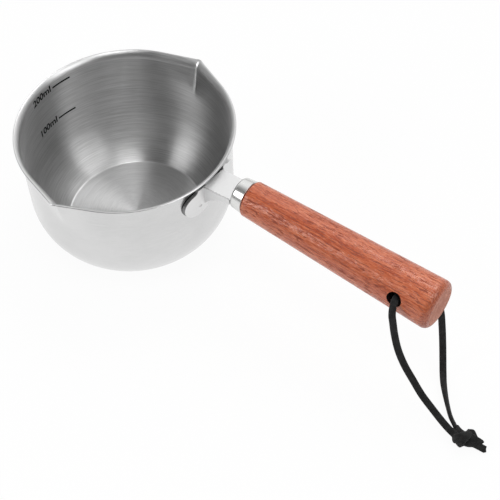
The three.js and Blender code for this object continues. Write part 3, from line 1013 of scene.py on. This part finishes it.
@dataclass
class Cord:
    """The hanging cord, a flat lace: two runs from the hole in the grip, and the knot."""

    width: float = 0.0026
    thickness: float = 0.0015
    squareness: float = 0.75
    sides: int = 24
    step: float = 0.0004
    sharp: float = 80.0
    facing: Place = (0.28, -0.5, 0.82)
    twist_span: Pair = (0.6, 0.92)
    runs: tuple[Run, ...] = (
        Run("near_cord", "cord_near_run", (0.1249, -0.0085, 0.0456), 0.0, NEAR_ROUTE),
        Run("far_cord", "cord_far_run", (0.1247, 0.0085, 0.0403), radians(80), FAR_ROUTE),
    )
    knot_middle: Place = (161.8, -17.3, 3.0)
    knot_strands: tuple[Strand, ...] = (
        Strand(NEAR_TAIL, wraps=False, slant=0.3, taper=0.45),
        Strand(FAR_TAIL, wraps=False, slant=-0.4, taper=0.75),
        Strand(WHOLE_TURN),
        Strand(CROSSING_TURN),
        Strand(LOW_TURN),
    )
    knot_core: Place = (2.6, 2.2, 1.6)
    knot_core_segments: tuple[int, int] = (24, 16)
    knot_voxel: float = 0.00013
    knot_smoothings: int = 2
    knot_smoothing: float = 0.5

    def build(self) -> None:
        knot = self._knot()
        settle(knot, Body.CORD_LOOP, [CORD_SUEDE], "cord_knot")
        for run in self.runs:
            path = self.smooth_path(run.route)
            facing = Vector(self.facing)
            sections = [
                self._section(path, i, facing, run.twist * self._twisted(i / (len(path) - 1)))
                for i in range(len(path))
            ]
            lace = piece_from(self._lace(sections), run.name, self.sharp)
            settle(lace, Body.CORD_LOOP, [CORD_SUEDE], run.node)

    def _twisted(self, share: float) -> float:
        """How much of a run's twist is done after a share of its length.

        Args:
            share: the share of the length.

        Returns:
            A number that goes smoothly from 0 to 1.
        """
        start, end = self.twist_span
        t = min(1.0, max(0.0, (share - start) / (end - start)))
        return t * t * (3 - 2 * t)

    def smooth_path(self, route: Sequence[Place]) -> list[Vector]:
        """A smooth line through a route's points.

        Args:
            route: the points, in millimetres.

        Returns:
            Points close together, in metres.
        """
        marks = [Vector(point) * MM for point in route]
        ends = [2 * marks[0] - marks[1], *marks, 2 * marks[-1] - marks[-2]]
        path = [marks[0]]
        for before, start, end, after in zip(ends, ends[1:], ends[2:], ends[3:]):
            count = max(2, round((end - start).length / self.step))
            for i in range(1, count + 1):
                path.append(self._between(before, start, end, after, i / count))
        return path

    @staticmethod
    def _between(before: Vector, start: Vector, end: Vector, after: Vector, t: float) -> Vector:
        """A point on a centripetal curve between two of its four points.

        Args:
            before: the point before the stretch.
            start: where the stretch starts.
            end: where it ends.
            after: the point after it.
            t: the share of the stretch.

        Returns:
            The point.
        """
        a = sqrt((start - before).length)
        b = sqrt((end - start).length)
        c = sqrt((after - end).length)
        leave = ((start - before) / a - (end - before) / (a + b) + (end - start) / b) * b
        reach = ((end - start) / b - (after - start) / (b + c) + (after - end) / c) * b
        cube = 2 * start - 2 * end + leave + reach
        square = -3 * start + 3 * end - 2 * leave - reach
        return start + (leave + (square + cube * t) * t) * t

    @staticmethod
    def _section(path: Sequence[Vector], i: int, facing: Vector, twist: float = 0.0) -> Matrix:
        """The frame of one section of the lace.

        Args:
            path: the centreline.
            i: the number of the section's point on it.
            facing: where the lace's broad side looks.
            twist: how far the lace is turned out of that, in radians.

        Returns:
            A frame with X across the lace, Y out of its broad side and Z ahead.
        """
        ahead = (path[min(i + 1, len(path) - 1)] - path[max(i - 1, 0)]).normalized()
        flat = ahead.cross(facing).normalized()
        out = flat.cross(ahead)
        across = flat * cos(twist) + out * sin(twist)
        turn = Matrix((across, across.cross(ahead) * -1, ahead)).transposed().to_4x4()
        return Matrix.Translation(path[i]) @ turn

    def _lace(self, sections: Sequence[Matrix]) -> BMesh:
        """A flat lace, each section drawn out of the one before.

        Args:
            sections: the frames of its sections.

        Returns:
            The closed lace.
        """
        bm = bmesh.new()
        bmesh.ops.create_circle(bm, segments=self.sides, radius=1.0)
        for vert in bm.verts:
            x, y = vert.co.x, vert.co.y
            vert.co.x = copysign(abs(x) ** self.squareness, x) * self.width / 2
            vert.co.y = copysign(abs(y) ** self.squareness, y) * self.thickness / 2
        return drawn(bm, sections)

    def _strand(self, strand: Strand) -> BMesh:
        """One strand of the knot, its broad side outwards where it wraps the others.

        Args:
            strand: the strand.

        Returns:
            The closed strand, with its end cut aslant.
        """
        path = self.smooth_path(strand.route)
        middle = Vector(self.knot_middle) * MM
        sections = []
        for i, point in enumerate(path):
            facing = point - middle if strand.wraps else Vector(self.facing)
            sections.append(self._section(path, i, facing))
        trim = Matrix.Diagonal((strand.taper, strand.taper, 1.0, 1.0))
        trim[2][0] = strand.slant
        sections[-1] = sections[-1] @ trim
        return self._lace(sections)

    def _knot(self) -> Object:
        """The knot, strands of the lace pressed into one another round a core.

        Returns:
            The knot, fused and smoothed.
        """
        whole = bmesh.new()
        around, upright = self.knot_core_segments
        bmesh.ops.create_uvsphere(whole, u_segments=around, v_segments=upright, radius=MM)
        bmesh.ops.scale(whole, vec=self.knot_core, verts=whole.verts[:])
        bmesh.ops.translate(whole, vec=Vector(self.knot_middle) * MM, verts=whole.verts[:])
        for strand in self.knot_strands:
            bm = self._strand(strand)
            mesh = bpy.data.meshes.new("strand")
            bm.to_mesh(mesh)
            bm.free()
            whole.from_mesh(mesh)
            bpy.data.meshes.remove(mesh)
        knot = piece_from(whole, "knot", self.sharp)
        remesh = knot.modifiers.new("fuse", "REMESH")
        remesh.mode = "VOXEL"
        remesh.voxel_size = self.knot_voxel
        bm = bmesh_of(baked_mesh(knot))
        bpy.data.objects.remove(knot)
        axes = {"use_axis_x": True, "use_axis_y": True, "use_axis_z": True}
        for _ in range(self.knot_smoothings):
            bmesh.ops.smooth_vert(bm, verts=bm.verts[:], factor=self.knot_smoothing, **axes)
        return piece_from(bm, "knot", self.sharp)


@dataclass
class Pot:
    """The pressed steel pot with its two pouring lips and its volume marks."""

    height: float = 0.0497
    rim_radius: float = 0.0415
    base_radius: float = 0.0269
    sheet: float = 0.0007
    base_slope: float = 31.5
    base_crease: float = 0.002
    wall_lean: float = 1.5
    lip_curl: float = 0.0026
    lip_slope: float = 25.0
    spout_angle: float = 87.5
    spout_reach: float = 0.0028
    spout_depth: float = 0.016
    spout_fold: float = 0.0004
    spout_fold_start: float = 0.0032
    spout_fold_strips: int = 4
    same_angle: float = 1e-4
    columns: int = 180
    crease_steps: int = 6
    belly_steps: int = 30
    wall_steps: int = 16
    lip_steps: int = 8
    edge_steps: int = 4
    sharp: float = 28.0
    mark_heights: tuple[tuple[str, float], ...] = (("200ml", 0.0454), ("100ml", 0.0288))
    mark_line: Pair = (162.4, 174.8)
    mark_line_width: float = 0.0008
    mark_line_steps: int = 30
    mark_text_start: float = 192.0
    mark_text_size: float = 0.0044
    mark_text_drop: float = 0.0009
    mark_text_bold: float = 0.00012
    mark_text_steps: int = 3
    mark_proud: float = 0.00004
    mark_sharp: float = 30.0
    highlight_ring: Pair = (0.0263, 0.0271)
    shade_strip_half: float = 0.0056
    shade_strip_span: Pair = (0.0453, 0.0463)

    def wall_slope(self) -> float:
        """Slope of the wall, in degrees."""
        return 90 - self.wall_lean

    def _lip_foot(self) -> Pair:
        """Radius and height at which the lip starts to flare.

        Returns:
            The radius and the height, both on the outside.
        """
        wall, lip = radians(self.wall_slope()), radians(self.lip_slope)
        span = self.lip_curl * (sin(wall) - sin(lip))
        rise = self.lip_curl * (cos(lip) - cos(wall))
        return self.rim_radius - span, self.height - self.sheet * cos(lip) - rise

    def wall_radius(self, height: float) -> float:
        """Outside radius of the straight wall at a height."""
        radius, top = self._lip_foot()
        return radius - (top - height) * tan(radians(self.wall_lean))

    @staticmethod
    def _arc(start: Pair, bend: float, slopes: Pair, steps: int) -> list[Place]:
        """Points of an arc of the profile.

        Args:
            start: radius and height that the arc goes on from.
            bend: its radius.
            slopes: its slope at the start and the end, in degrees.
            steps: how many points it has.

        Returns:
            Radius, height and slope of each point.
        """
        low, high = (radians(slope) for slope in slopes)
        side = copysign(bend, high - low)
        points = []
        for i in range(1, steps + 1):
            slope = low + (high - low) * i / steps
            radius = start[0] + side * (sin(slope) - sin(low))
            height = start[1] + side * (cos(low) - cos(slope))
            points.append((radius, height, degrees(slope)))
        return points

    def _outside(self) -> list[Place]:
        """The outside of the profile, from the axis to the lip's edge.

        Returns:
            Radius, height and slope of each point.
        """
        base, slope = self.base_slope, self.wall_slope()
        flat = self.base_radius - self.base_crease * tan(radians(base / 2))
        crease = self._arc((flat, 0.0), self.base_crease, (0, base), self.crease_steps)
        foot, top = crease[-1], self._lip_foot()
        wall = radians(slope)
        across = (top[0] - foot[0]) * sin(wall) - (top[1] - foot[1]) * cos(wall)
        bend = across / (1 - cos(wall - radians(base)))
        belly = self._arc(foot[:2], bend, (base, slope), self.belly_steps)
        shoulder = belly[-1][1]
        rise = top[1] - shoulder
        heights = [shoulder + rise * i / self.wall_steps for i in range(1, self.wall_steps + 1)]
        upright = [(self.wall_radius(height), height, slope) for height in heights]
        lip = self._arc(top, self.lip_curl, (slope, self.lip_slope), self.lip_steps)
        return [(0.0, 0.0, 0.0), (flat, 0.0, 0.0), *crease, *belly, *upright, *lip]

    def _profile(self) -> list[Vector]:
        """The whole section, out along the outside, round the edge and back along the inside.

        Returns:
            Its points, in the plane that looks along X.
        """
        outside = self._outside()
        points = [(radius, height) for radius, height, _ in outside]
        edge_radius, edge_height, slope = outside[-1]
        tilt = radians(slope)
        for i in range(1, self.edge_steps):
            turn = pi * i / self.edge_steps
            along = self.sheet / 2 * sin(turn)
            over = self.sheet / 2 * (1 - cos(turn))
            radius = edge_radius + along * cos(tilt) - over * sin(tilt)
            points.append((radius, edge_height + along * sin(tilt) + over * cos(tilt)))
        for radius, height, slope in reversed(outside):
            tilt = radians(slope)
            inner = max(0.0, radius - self.sheet * sin(tilt))
            points.append((inner, height + self.sheet * cos(tilt)))
        return [Vector((0, -radius, height)) for radius, height in points]

    def _column(self, angle: float) -> float:
        """Spreads the turned columns so that one of them meets each pouring lip's tip.

        Args:
            angle: the angle of a turned column, in radians.

        Returns:
            The angle that it gets.
        """
        right, tip = pi / 2, radians(self.spout_angle)
        size = abs(angle)
        if size <= right:
            spread = size * tip / right
        else:
            spread = tip + (size - right) * (pi - tip) / right
        return copysign(spread, angle)

    def _draw_spouts(self, bm: BMesh) -> None:
        """Draws the pouring lips out of the turned wall and rounds their folds.

        Args:
            bm: the turned pot.
        """
        tip = radians(self.spout_angle)
        fade = self.height - self.spout_depth
        for vert in bm.verts:
            radius = hypot(vert.co.x, vert.co.y)
            angle = self._column(atan2(vert.co.y, vert.co.x))
            share = min(1.0, max(0.0, (vert.co.z - fade) / self.spout_depth))
            half = acos(1 / (1 + self.spout_reach / self.rim_radius * share))
            reach = radius / cos(max(0.0, half - abs(abs(angle) - tip)))
            vert.co.x, vert.co.y = reach * cos(angle), reach * sin(angle)
        folds = []
        for edge in bm.edges:
            off = [abs(abs(atan2(vert.co.y, vert.co.x)) - tip) for vert in edge.verts]
            low = min(vert.co.z for vert in edge.verts)
            if low > fade + self.spout_fold_start and max(off) < self.same_angle:
                folds.append(edge)
        round_edges(bm, folds, self.spout_fold, self.spout_fold_strips)

    def build(self) -> None:
        """Makes the pot and its marks."""
        bm = turned(self._profile(), Vector((0, 0, 1)), self.columns)
        self._draw_spouts(bm)
        bmesh.ops.recalc_face_normals(bm, faces=bm.faces[:])
        finishes = [INSIDE_STEEL, OUTSIDE_STEEL, LIP_AND_RING_HIGHLIGHT_STEEL, PAINTED_SHADE_STEEL, FLOOR_STEEL]
        for face in bm.faces:
            face.material_index = finishes.index(self._finish(face))
        pot = piece_from(bm, "pot", self.sharp)
        settle(pot, Body.PAN, finishes, "pot_body")
        self._marks()

    def _finish(self, face: BMFace) -> Finish:
        """The finish of a face of the pot.

        Args:
            face: the face.

        Returns:
            Inside, that of the wall, of the floor, or of the lip, or of the ring round the floor,
            a painted highlight line;
            outside, that of the steel, or of the strip behind the bracket, painted dark as shade.
        """
        middle = face.calc_center_median()
        out = Vector((middle.x, middle.y, 0)).normalized()
        if face.normal.z - face.normal.dot(out) > 0:
            radius = hypot(middle.x, middle.y)
            # The ring round the floor gets the lip's lighter steel, a painted highlight line.
            first, last = self.highlight_ring
            if middle.z > self._lip_foot()[1] or first < radius < last:
                return LIP_AND_RING_HIGHLIGHT_STEEL
            return FLOOR_STEEL if radius <= first else INSIDE_STEEL
        # The strip of wall behind the bracket, under the web, is painted dark as shade.
        low, high = self.shade_strip_span
        behind = middle.x > 0 and abs(middle.y) < self.shade_strip_half and low < middle.z < high
        return PAINTED_SHADE_STEEL if behind else OUTSIDE_STEEL

    def _marks(self) -> None:
        """Prints a line and a volume on the inside of the wall for each mark."""
        low, high = (radians(angle) for angle in self.mark_line)
        for text, height in self.mark_heights:
            bm = bmesh.new()
            bmesh.ops.create_grid(bm, x_segments=self.mark_line_steps, y_segments=1, size=0.5)
            span = (high - low) * (self.wall_radius(height) - self.sheet)
            bmesh.ops.scale(bm, vec=(span, self.mark_line_width, 1), verts=bm.verts[:])
            self._print(bm, "mark_line_" + text, (low + high) / 2, height)
            words, start = self._lettering(text), radians(self.mark_text_start)
            self._print(words, "mark_text_" + text, start, height - self.mark_text_drop)

    def _lettering(self, text: str) -> BMesh:
        """A flat mesh of a mark's lettering, from its left end on its base line.

        Args:
            text: what the mark says.

        Returns:
            The lettering, in XY.
        """
        curve = bpy.data.curves.new("lettering", "FONT")
        curve.body = text
        curve.size = self.mark_text_size
        curve.offset = self.mark_text_bold
        curve.resolution_u = self.mark_text_steps
        writing = bpy.data.objects.new("lettering", curve)
        bpy.context.scene.collection.objects.link(writing)
        bpy.context.view_layer.update()
        mesh = baked_mesh(writing)
        bpy.data.objects.remove(writing)
        bm = bmesh_of(mesh)
        bpy.data.meshes.remove(mesh)
        bmesh.ops.remove_doubles(bm, verts=bm.verts[:], dist=WELD)
        return bm

    def _print(self, bm: BMesh, name: str, azimuth: float, height: float) -> None:
        """Wraps a flat print round the inside of the wall, to be read from inside.

        Args:
            bm: the print, flat in XY, which is freed.
            name: the piece's name.
            azimuth: where its X = 0 comes to lie, in radians.
            height: where its Y = 0 comes to lie.
        """
        for face in bm.faces:
            if face.normal.z < 0:
                face.normal_flip()
        for vert in bm.verts:
            up = height + vert.co.y
            radius = self.wall_radius(up) - self.sheet
            angle = azimuth - vert.co.x / radius
            vert.co = Vector((radius * cos(angle), radius * sin(angle), up))
        top = bmesh.ops.extrude_face_region(bm, geom=bm.faces[:])["geom"]
        for vert in (part for part in top if isinstance(part, BMVert)):
            inward = Vector((-vert.co.x, -vert.co.y, 0)).normalized()
            vert.co += inward * self.mark_proud
        bmesh.ops.recalc_face_normals(bm, faces=bm.faces[:])
        settle(piece_from(bm, name, self.mark_sharp), Body.PAN, [MARKS])


@dataclass
class Bracket:
    """The folded sheet that joins pot and grip, with its rounded sheet edges."""

    axis: HandleAxis
    node: str = "handle_bracket"
    flat: float = 2.0
    half_width: float = 0.00545
    edge_round: float = 0.0003
    edge_strips: int = 3
    corner: float = 40.0
    sharp: float = 32.0
    ear_radius: float = 0.0416
    facing: float = 0.5
    web_middle: float = 0.0464
    web_climb: float = 0.1
    web_drop: float = 0.0004
    seam_span: Pair = (0.0412, 0.0523)
    seam_half: float = 0.00036
    seam_flat: float = 0.5
    seam_inset: float = 0.00022
    seam_waver: float = 0.00016
    seam_points: int = 30
    seam_sides: int = 4
    waver_noise: Place = (900.0, 0.3, 0.7)
    width_noise: Place = (1500.0, 5.1, 2.2)

    def build(self) -> None:
        """Makes the bracket from the CAD solid's own faces."""
        bm = bmesh_of(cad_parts[self.node].data)
        bmesh.ops.remove_doubles(bm, verts=bm.verts[:], dist=WELD)
        flat, corner = radians(self.flat), radians(self.corner)
        bmesh.ops.dissolve_limit(bm, angle_limit=flat, verts=bm.verts[:], edges=bm.edges[:])
        bm.normal_update()
        finishes = [BRACKET_STEEL, EDGE_SHADE_STEEL, PAINTED_SHADE_STEEL, SEAM_STEEL]
        for face in bm.faces:
            face.material_index = finishes.index(self._finish(face))
        edges = [edge for edge in bm.edges if len(edge.link_faces) == 2]
        corners = [edge for edge in edges if edge.calc_face_angle() > corner]
        round_edges(bm, corners, self.edge_round, self.edge_strips)
        bracket = piece_from(bm, "bracket", self.sharp)
        cut(bracket, self._seam(), finishes.index(SEAM_STEEL))
        bracket.data.set_sharp_from_angle(angle=radians(self.sharp))
        even = bracket.modifiers.new("even", "WEIGHTED_NORMAL")
        even.keep_sharp = True
        bake(bracket)
        settle(bracket, Body.PAN, finishes, self.node)

    def _finish(self, face: BMFace) -> Finish:
        """The finish of a face of the bracket.

        Args:
            face: the face.

        Returns:
            Painted shade where it looks at the wall, a darker grey painted as shade on an edge by
            the wall, or the steel.
        """
        middle = face.calc_center_median()
        out = Vector((middle.x, middle.y, 0)).normalized()
        if middle.y > self.half_width - self.edge_round or out.dot(middle) > self.ear_radius:
            return BRACKET_STEEL
        looks = face.normal.dot(out)
        # Faces that look at the wall are painted dark as shade.
        if looks < -self.facing:
            return PAINTED_SHADE_STEEL
        # Sheet edges by the wall get the darker grey of painted shade.
        return EDGE_SHADE_STEEL if looks < self.facing else BRACKET_STEEL

    def _seam(self) -> BMesh:
        """The fine groove along the near fold, wavering a little.

        Returns:
            The closed shape to cut out.
        """

        def uneven(along: float, kind: Place) -> float:
            """Noise at a place along the seam, with its pitch and two places aside."""
            return noise.noise(Vector((along * kind[0], *kind[1:])))

        start, end = self.seam_span
        along_x = Matrix(((0, 0, 1, 0), (1, 0, 0, 0), (0, 1, 0, 0), (0, 0, 0, 1)))
        sections = []
        for i in range(self.seam_points + 1):
            along = start + (end - start) * i / self.seam_points
            waver = uneven(along, self.waver_noise) * self.seam_waver
            side = self.seam_inset - self.half_width + waver
            top = self.web_climb * (along - self.web_middle) - self.web_drop
            half = self.seam_half * (1 + uneven(along, self.width_noise))
            size = Matrix.Diagonal((half, half * self.seam_flat, 1, 1))
            place = Matrix.Translation((along, side, top))
            sections.append(self.axis.matrix() @ place @ along_x @ size)
        bm = bmesh.new()
        bmesh.ops.create_circle(bm, segments=self.seam_sides, radius=1)
        return drawn(bm, sections)


@dataclass
class Ferrule:
    """The polished cup between bracket and grip."""

    axis: HandleAxis
    start: float = 0.0528
    length: float = 0.005
    front_radius: float = 0.0061
    back_radius: float = 0.0065
    front_round: float = 0.0012
    back_round: float = 0.0002
    sheet: float = 0.0007
    steps: int = 96
    round_steps: int = 12
    sharp: float = 30.0
    slot_width: float = 0.0066
    slot_low: float = -0.0015
    slot_high: float = 0.0003
    slot_depth: float = 0.0028

    def _profile(self) -> list[Vector]:
        """The cup's section along X.

        Returns:
            Its points, from the axis over the outside and back inside.
        """
        end, bend = self.start + self.length, self.front_round
        points = [
            (self.start, 0.0),
            *(
                (self.start + bend * (1 - c), self.front_radius - bend * (1 - s))
                for c, s in quarter(self.round_steps)
            ),
            (end - self.back_round, self.back_radius),
            (end, self.back_radius - self.back_round),
            (end, self.back_radius - self.sheet),
            (self.start + self.sheet, self.front_radius - self.sheet),
            (self.start + self.sheet, 0.0),
        ]
        return [Vector((along, 0, radius)) for along, radius in points]

    def build(self) -> None:
        """Makes the ferrule with the slot that the tang goes through."""
        bm = turned(self._profile(), Vector((1, 0, 0)), self.steps)
        ferrule = piece_from(bm, "ferrule_cup", self.sharp)
        slot = bmesh.new()
        bmesh.ops.create_cube(slot, size=1)
        size = (self.slot_depth, self.slot_width, self.slot_high - self.slot_low)
        bmesh.ops.scale(slot, vec=size, verts=slot.verts[:])
        middle = (self.start, 0, (self.slot_low + self.slot_high) / 2)
        bmesh.ops.translate(slot, vec=middle, verts=slot.verts[:])
        cut(ferrule, slot)
        self.axis.seat(ferrule, self.sharp)
        settle(ferrule, Body.PAN, [FERRULE_STEEL], "ferrule")


@dataclass
class Grip:
    """The tapered wooden grip with the cord's hole."""

    axis: HandleAxis
    spigot_start: float = 0.0538
    spigot_radius: float = 0.0051
    start: float = 0.0581
    length: float = 0.0801
    front_radius: float = 0.0069
    end_radius: float = 0.0093
    front_round: float = 0.0006
    end_round: float = 0.0026
    end_facing: float = 0.99
    hole_radius: float = 0.0029
    hole_from_end: float = 0.01375
    hole_roll: float = 17.0
    hole_steps: int = 64
    mouth_flare: float = 0.00036
    mouth_depth: float = 0.0011
    mouth_over: float = 0.001
    mouth_steps: int = 6
    steps: int = 128
    rows: int = 28
    round_steps: int = 8
    sharp: float = 30.0

    def end(self) -> float:
        """Distance of the grip's end from the pot's axis."""
        return self.start + self.length

    def wood(self) -> RedWood:
        """The grip's wood, its grain along the grip's axis."""
        return RedWood(
            "red_wood",
            deep=(0.385, 0.066, 0.025, 1),
            middle=(0.59, 0.145, 0.061, 1),
            pale=(0.745, 0.24, 0.12, 1),
            pore=(0.17, 0.018, 0.004, 1),
            end_dark=(0.22, 0.042, 0.016, 1),
            roughness=0.23,
            axis_height=self.axis.height,
            droop=self.axis.droop,
            end=self.end(),
            end_round=self.end_round,
        )

    def _profile(self) -> list[Vector]:
        """The grip's section along X.

        Returns:
            Its points, from the axis at the spigot to the axis at the end.
        """
        points = [
            (self.spigot_start, 0.0),
            (self.spigot_start, self.spigot_radius),
            (self.start, self.spigot_radius),
        ]
        bend, curve = self.front_round, quarter(self.round_steps)
        points += [
            (self.start + bend * (1 - c), self.front_radius - bend * (1 - s)) for c, s in curve
        ]
        low, high = self.start + bend, self.end() - self.end_round
        for i in range(1, self.rows):
            share = i / self.rows
            radius = self.front_radius + (self.end_radius - self.front_radius) * share
            points.append((low + (high - low) * share, radius))
        bend = self.end_round
        points += [(high + bend * s, self.end_radius - bend * (1 - c)) for c, s in curve]
        points.append((self.end(), 0.0))
        return [Vector((along, 0, radius)) for along, radius in points]

    def _drill(self) -> BMesh:
        """The hole's shape: a rod that flares at both mouths.

        Returns:
            The closed rod, in its place along X.
        """
        deep = self.end_radius - self.mouth_depth
        mouth = self.mouth_depth + self.mouth_over
        half = [(0.0, self.hole_radius), (deep, self.hole_radius)]
        half += [
            (deep + mouth * s, self.hole_radius + self.mouth_flare * (1 - c))
            for c, s in quarter(self.mouth_steps)[1:]
        ]
        points = [(-along, radius) for along, radius in reversed(half[1:])] + half
        points = [(points[0][0], 0.0), *points, (points[-1][0], 0.0)]
        profile = [Vector((radius, along, 0)) for along, radius in points]
        bm = turned(profile, Vector((0, 1, 0)), self.hole_steps)
        turn = Matrix.Rotation(-radians(self.hole_roll), 4, "X")
        place = Matrix.Translation((self.end() - self.hole_from_end, 0, 0))
        bmesh.ops.transform(bm, matrix=place @ turn, verts=bm.verts[:])
        return bm

    def build(self) -> None:
        """Makes the grip, bored for the cord and with a bare end."""
        finishes = [self.wood(), HOLE_SHADE_WOOD, END_WOOD]
        bm = turned(self._profile(), Vector((1, 0, 0)), self.steps)
        for face in bm.faces:
            if face.normal.x > self.end_facing:
                face.material_index = finishes.index(END_WOOD)
        grip = piece_from(bm, "grip", self.sharp)
        # The hole's walls get near-black wood, painted shade.
        cut(grip, self._drill(), finishes.index(HOLE_SHADE_WOOD))
        self.axis.seat(grip, self.sharp)
        settle(grip, Body.PAN, finishes, "wooden_grip")


def main() -> None:
    """Builds the butter warmer and what is round it."""
    logging.basicConfig(level=logging.INFO, format="%(name)s: %(message)s")
    axis = HandleAxis()
    for assembly in (Studio(), Cord(), Pot(), Bracket(axis), Ferrule(axis), Grip(axis)):
        assembly.build()
    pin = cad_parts["tang_pin"]
    pin.data.materials.clear()
    pin.data.materials.append(FERRULE_STEEL.material())


if __name__ == "__main__":
    main()
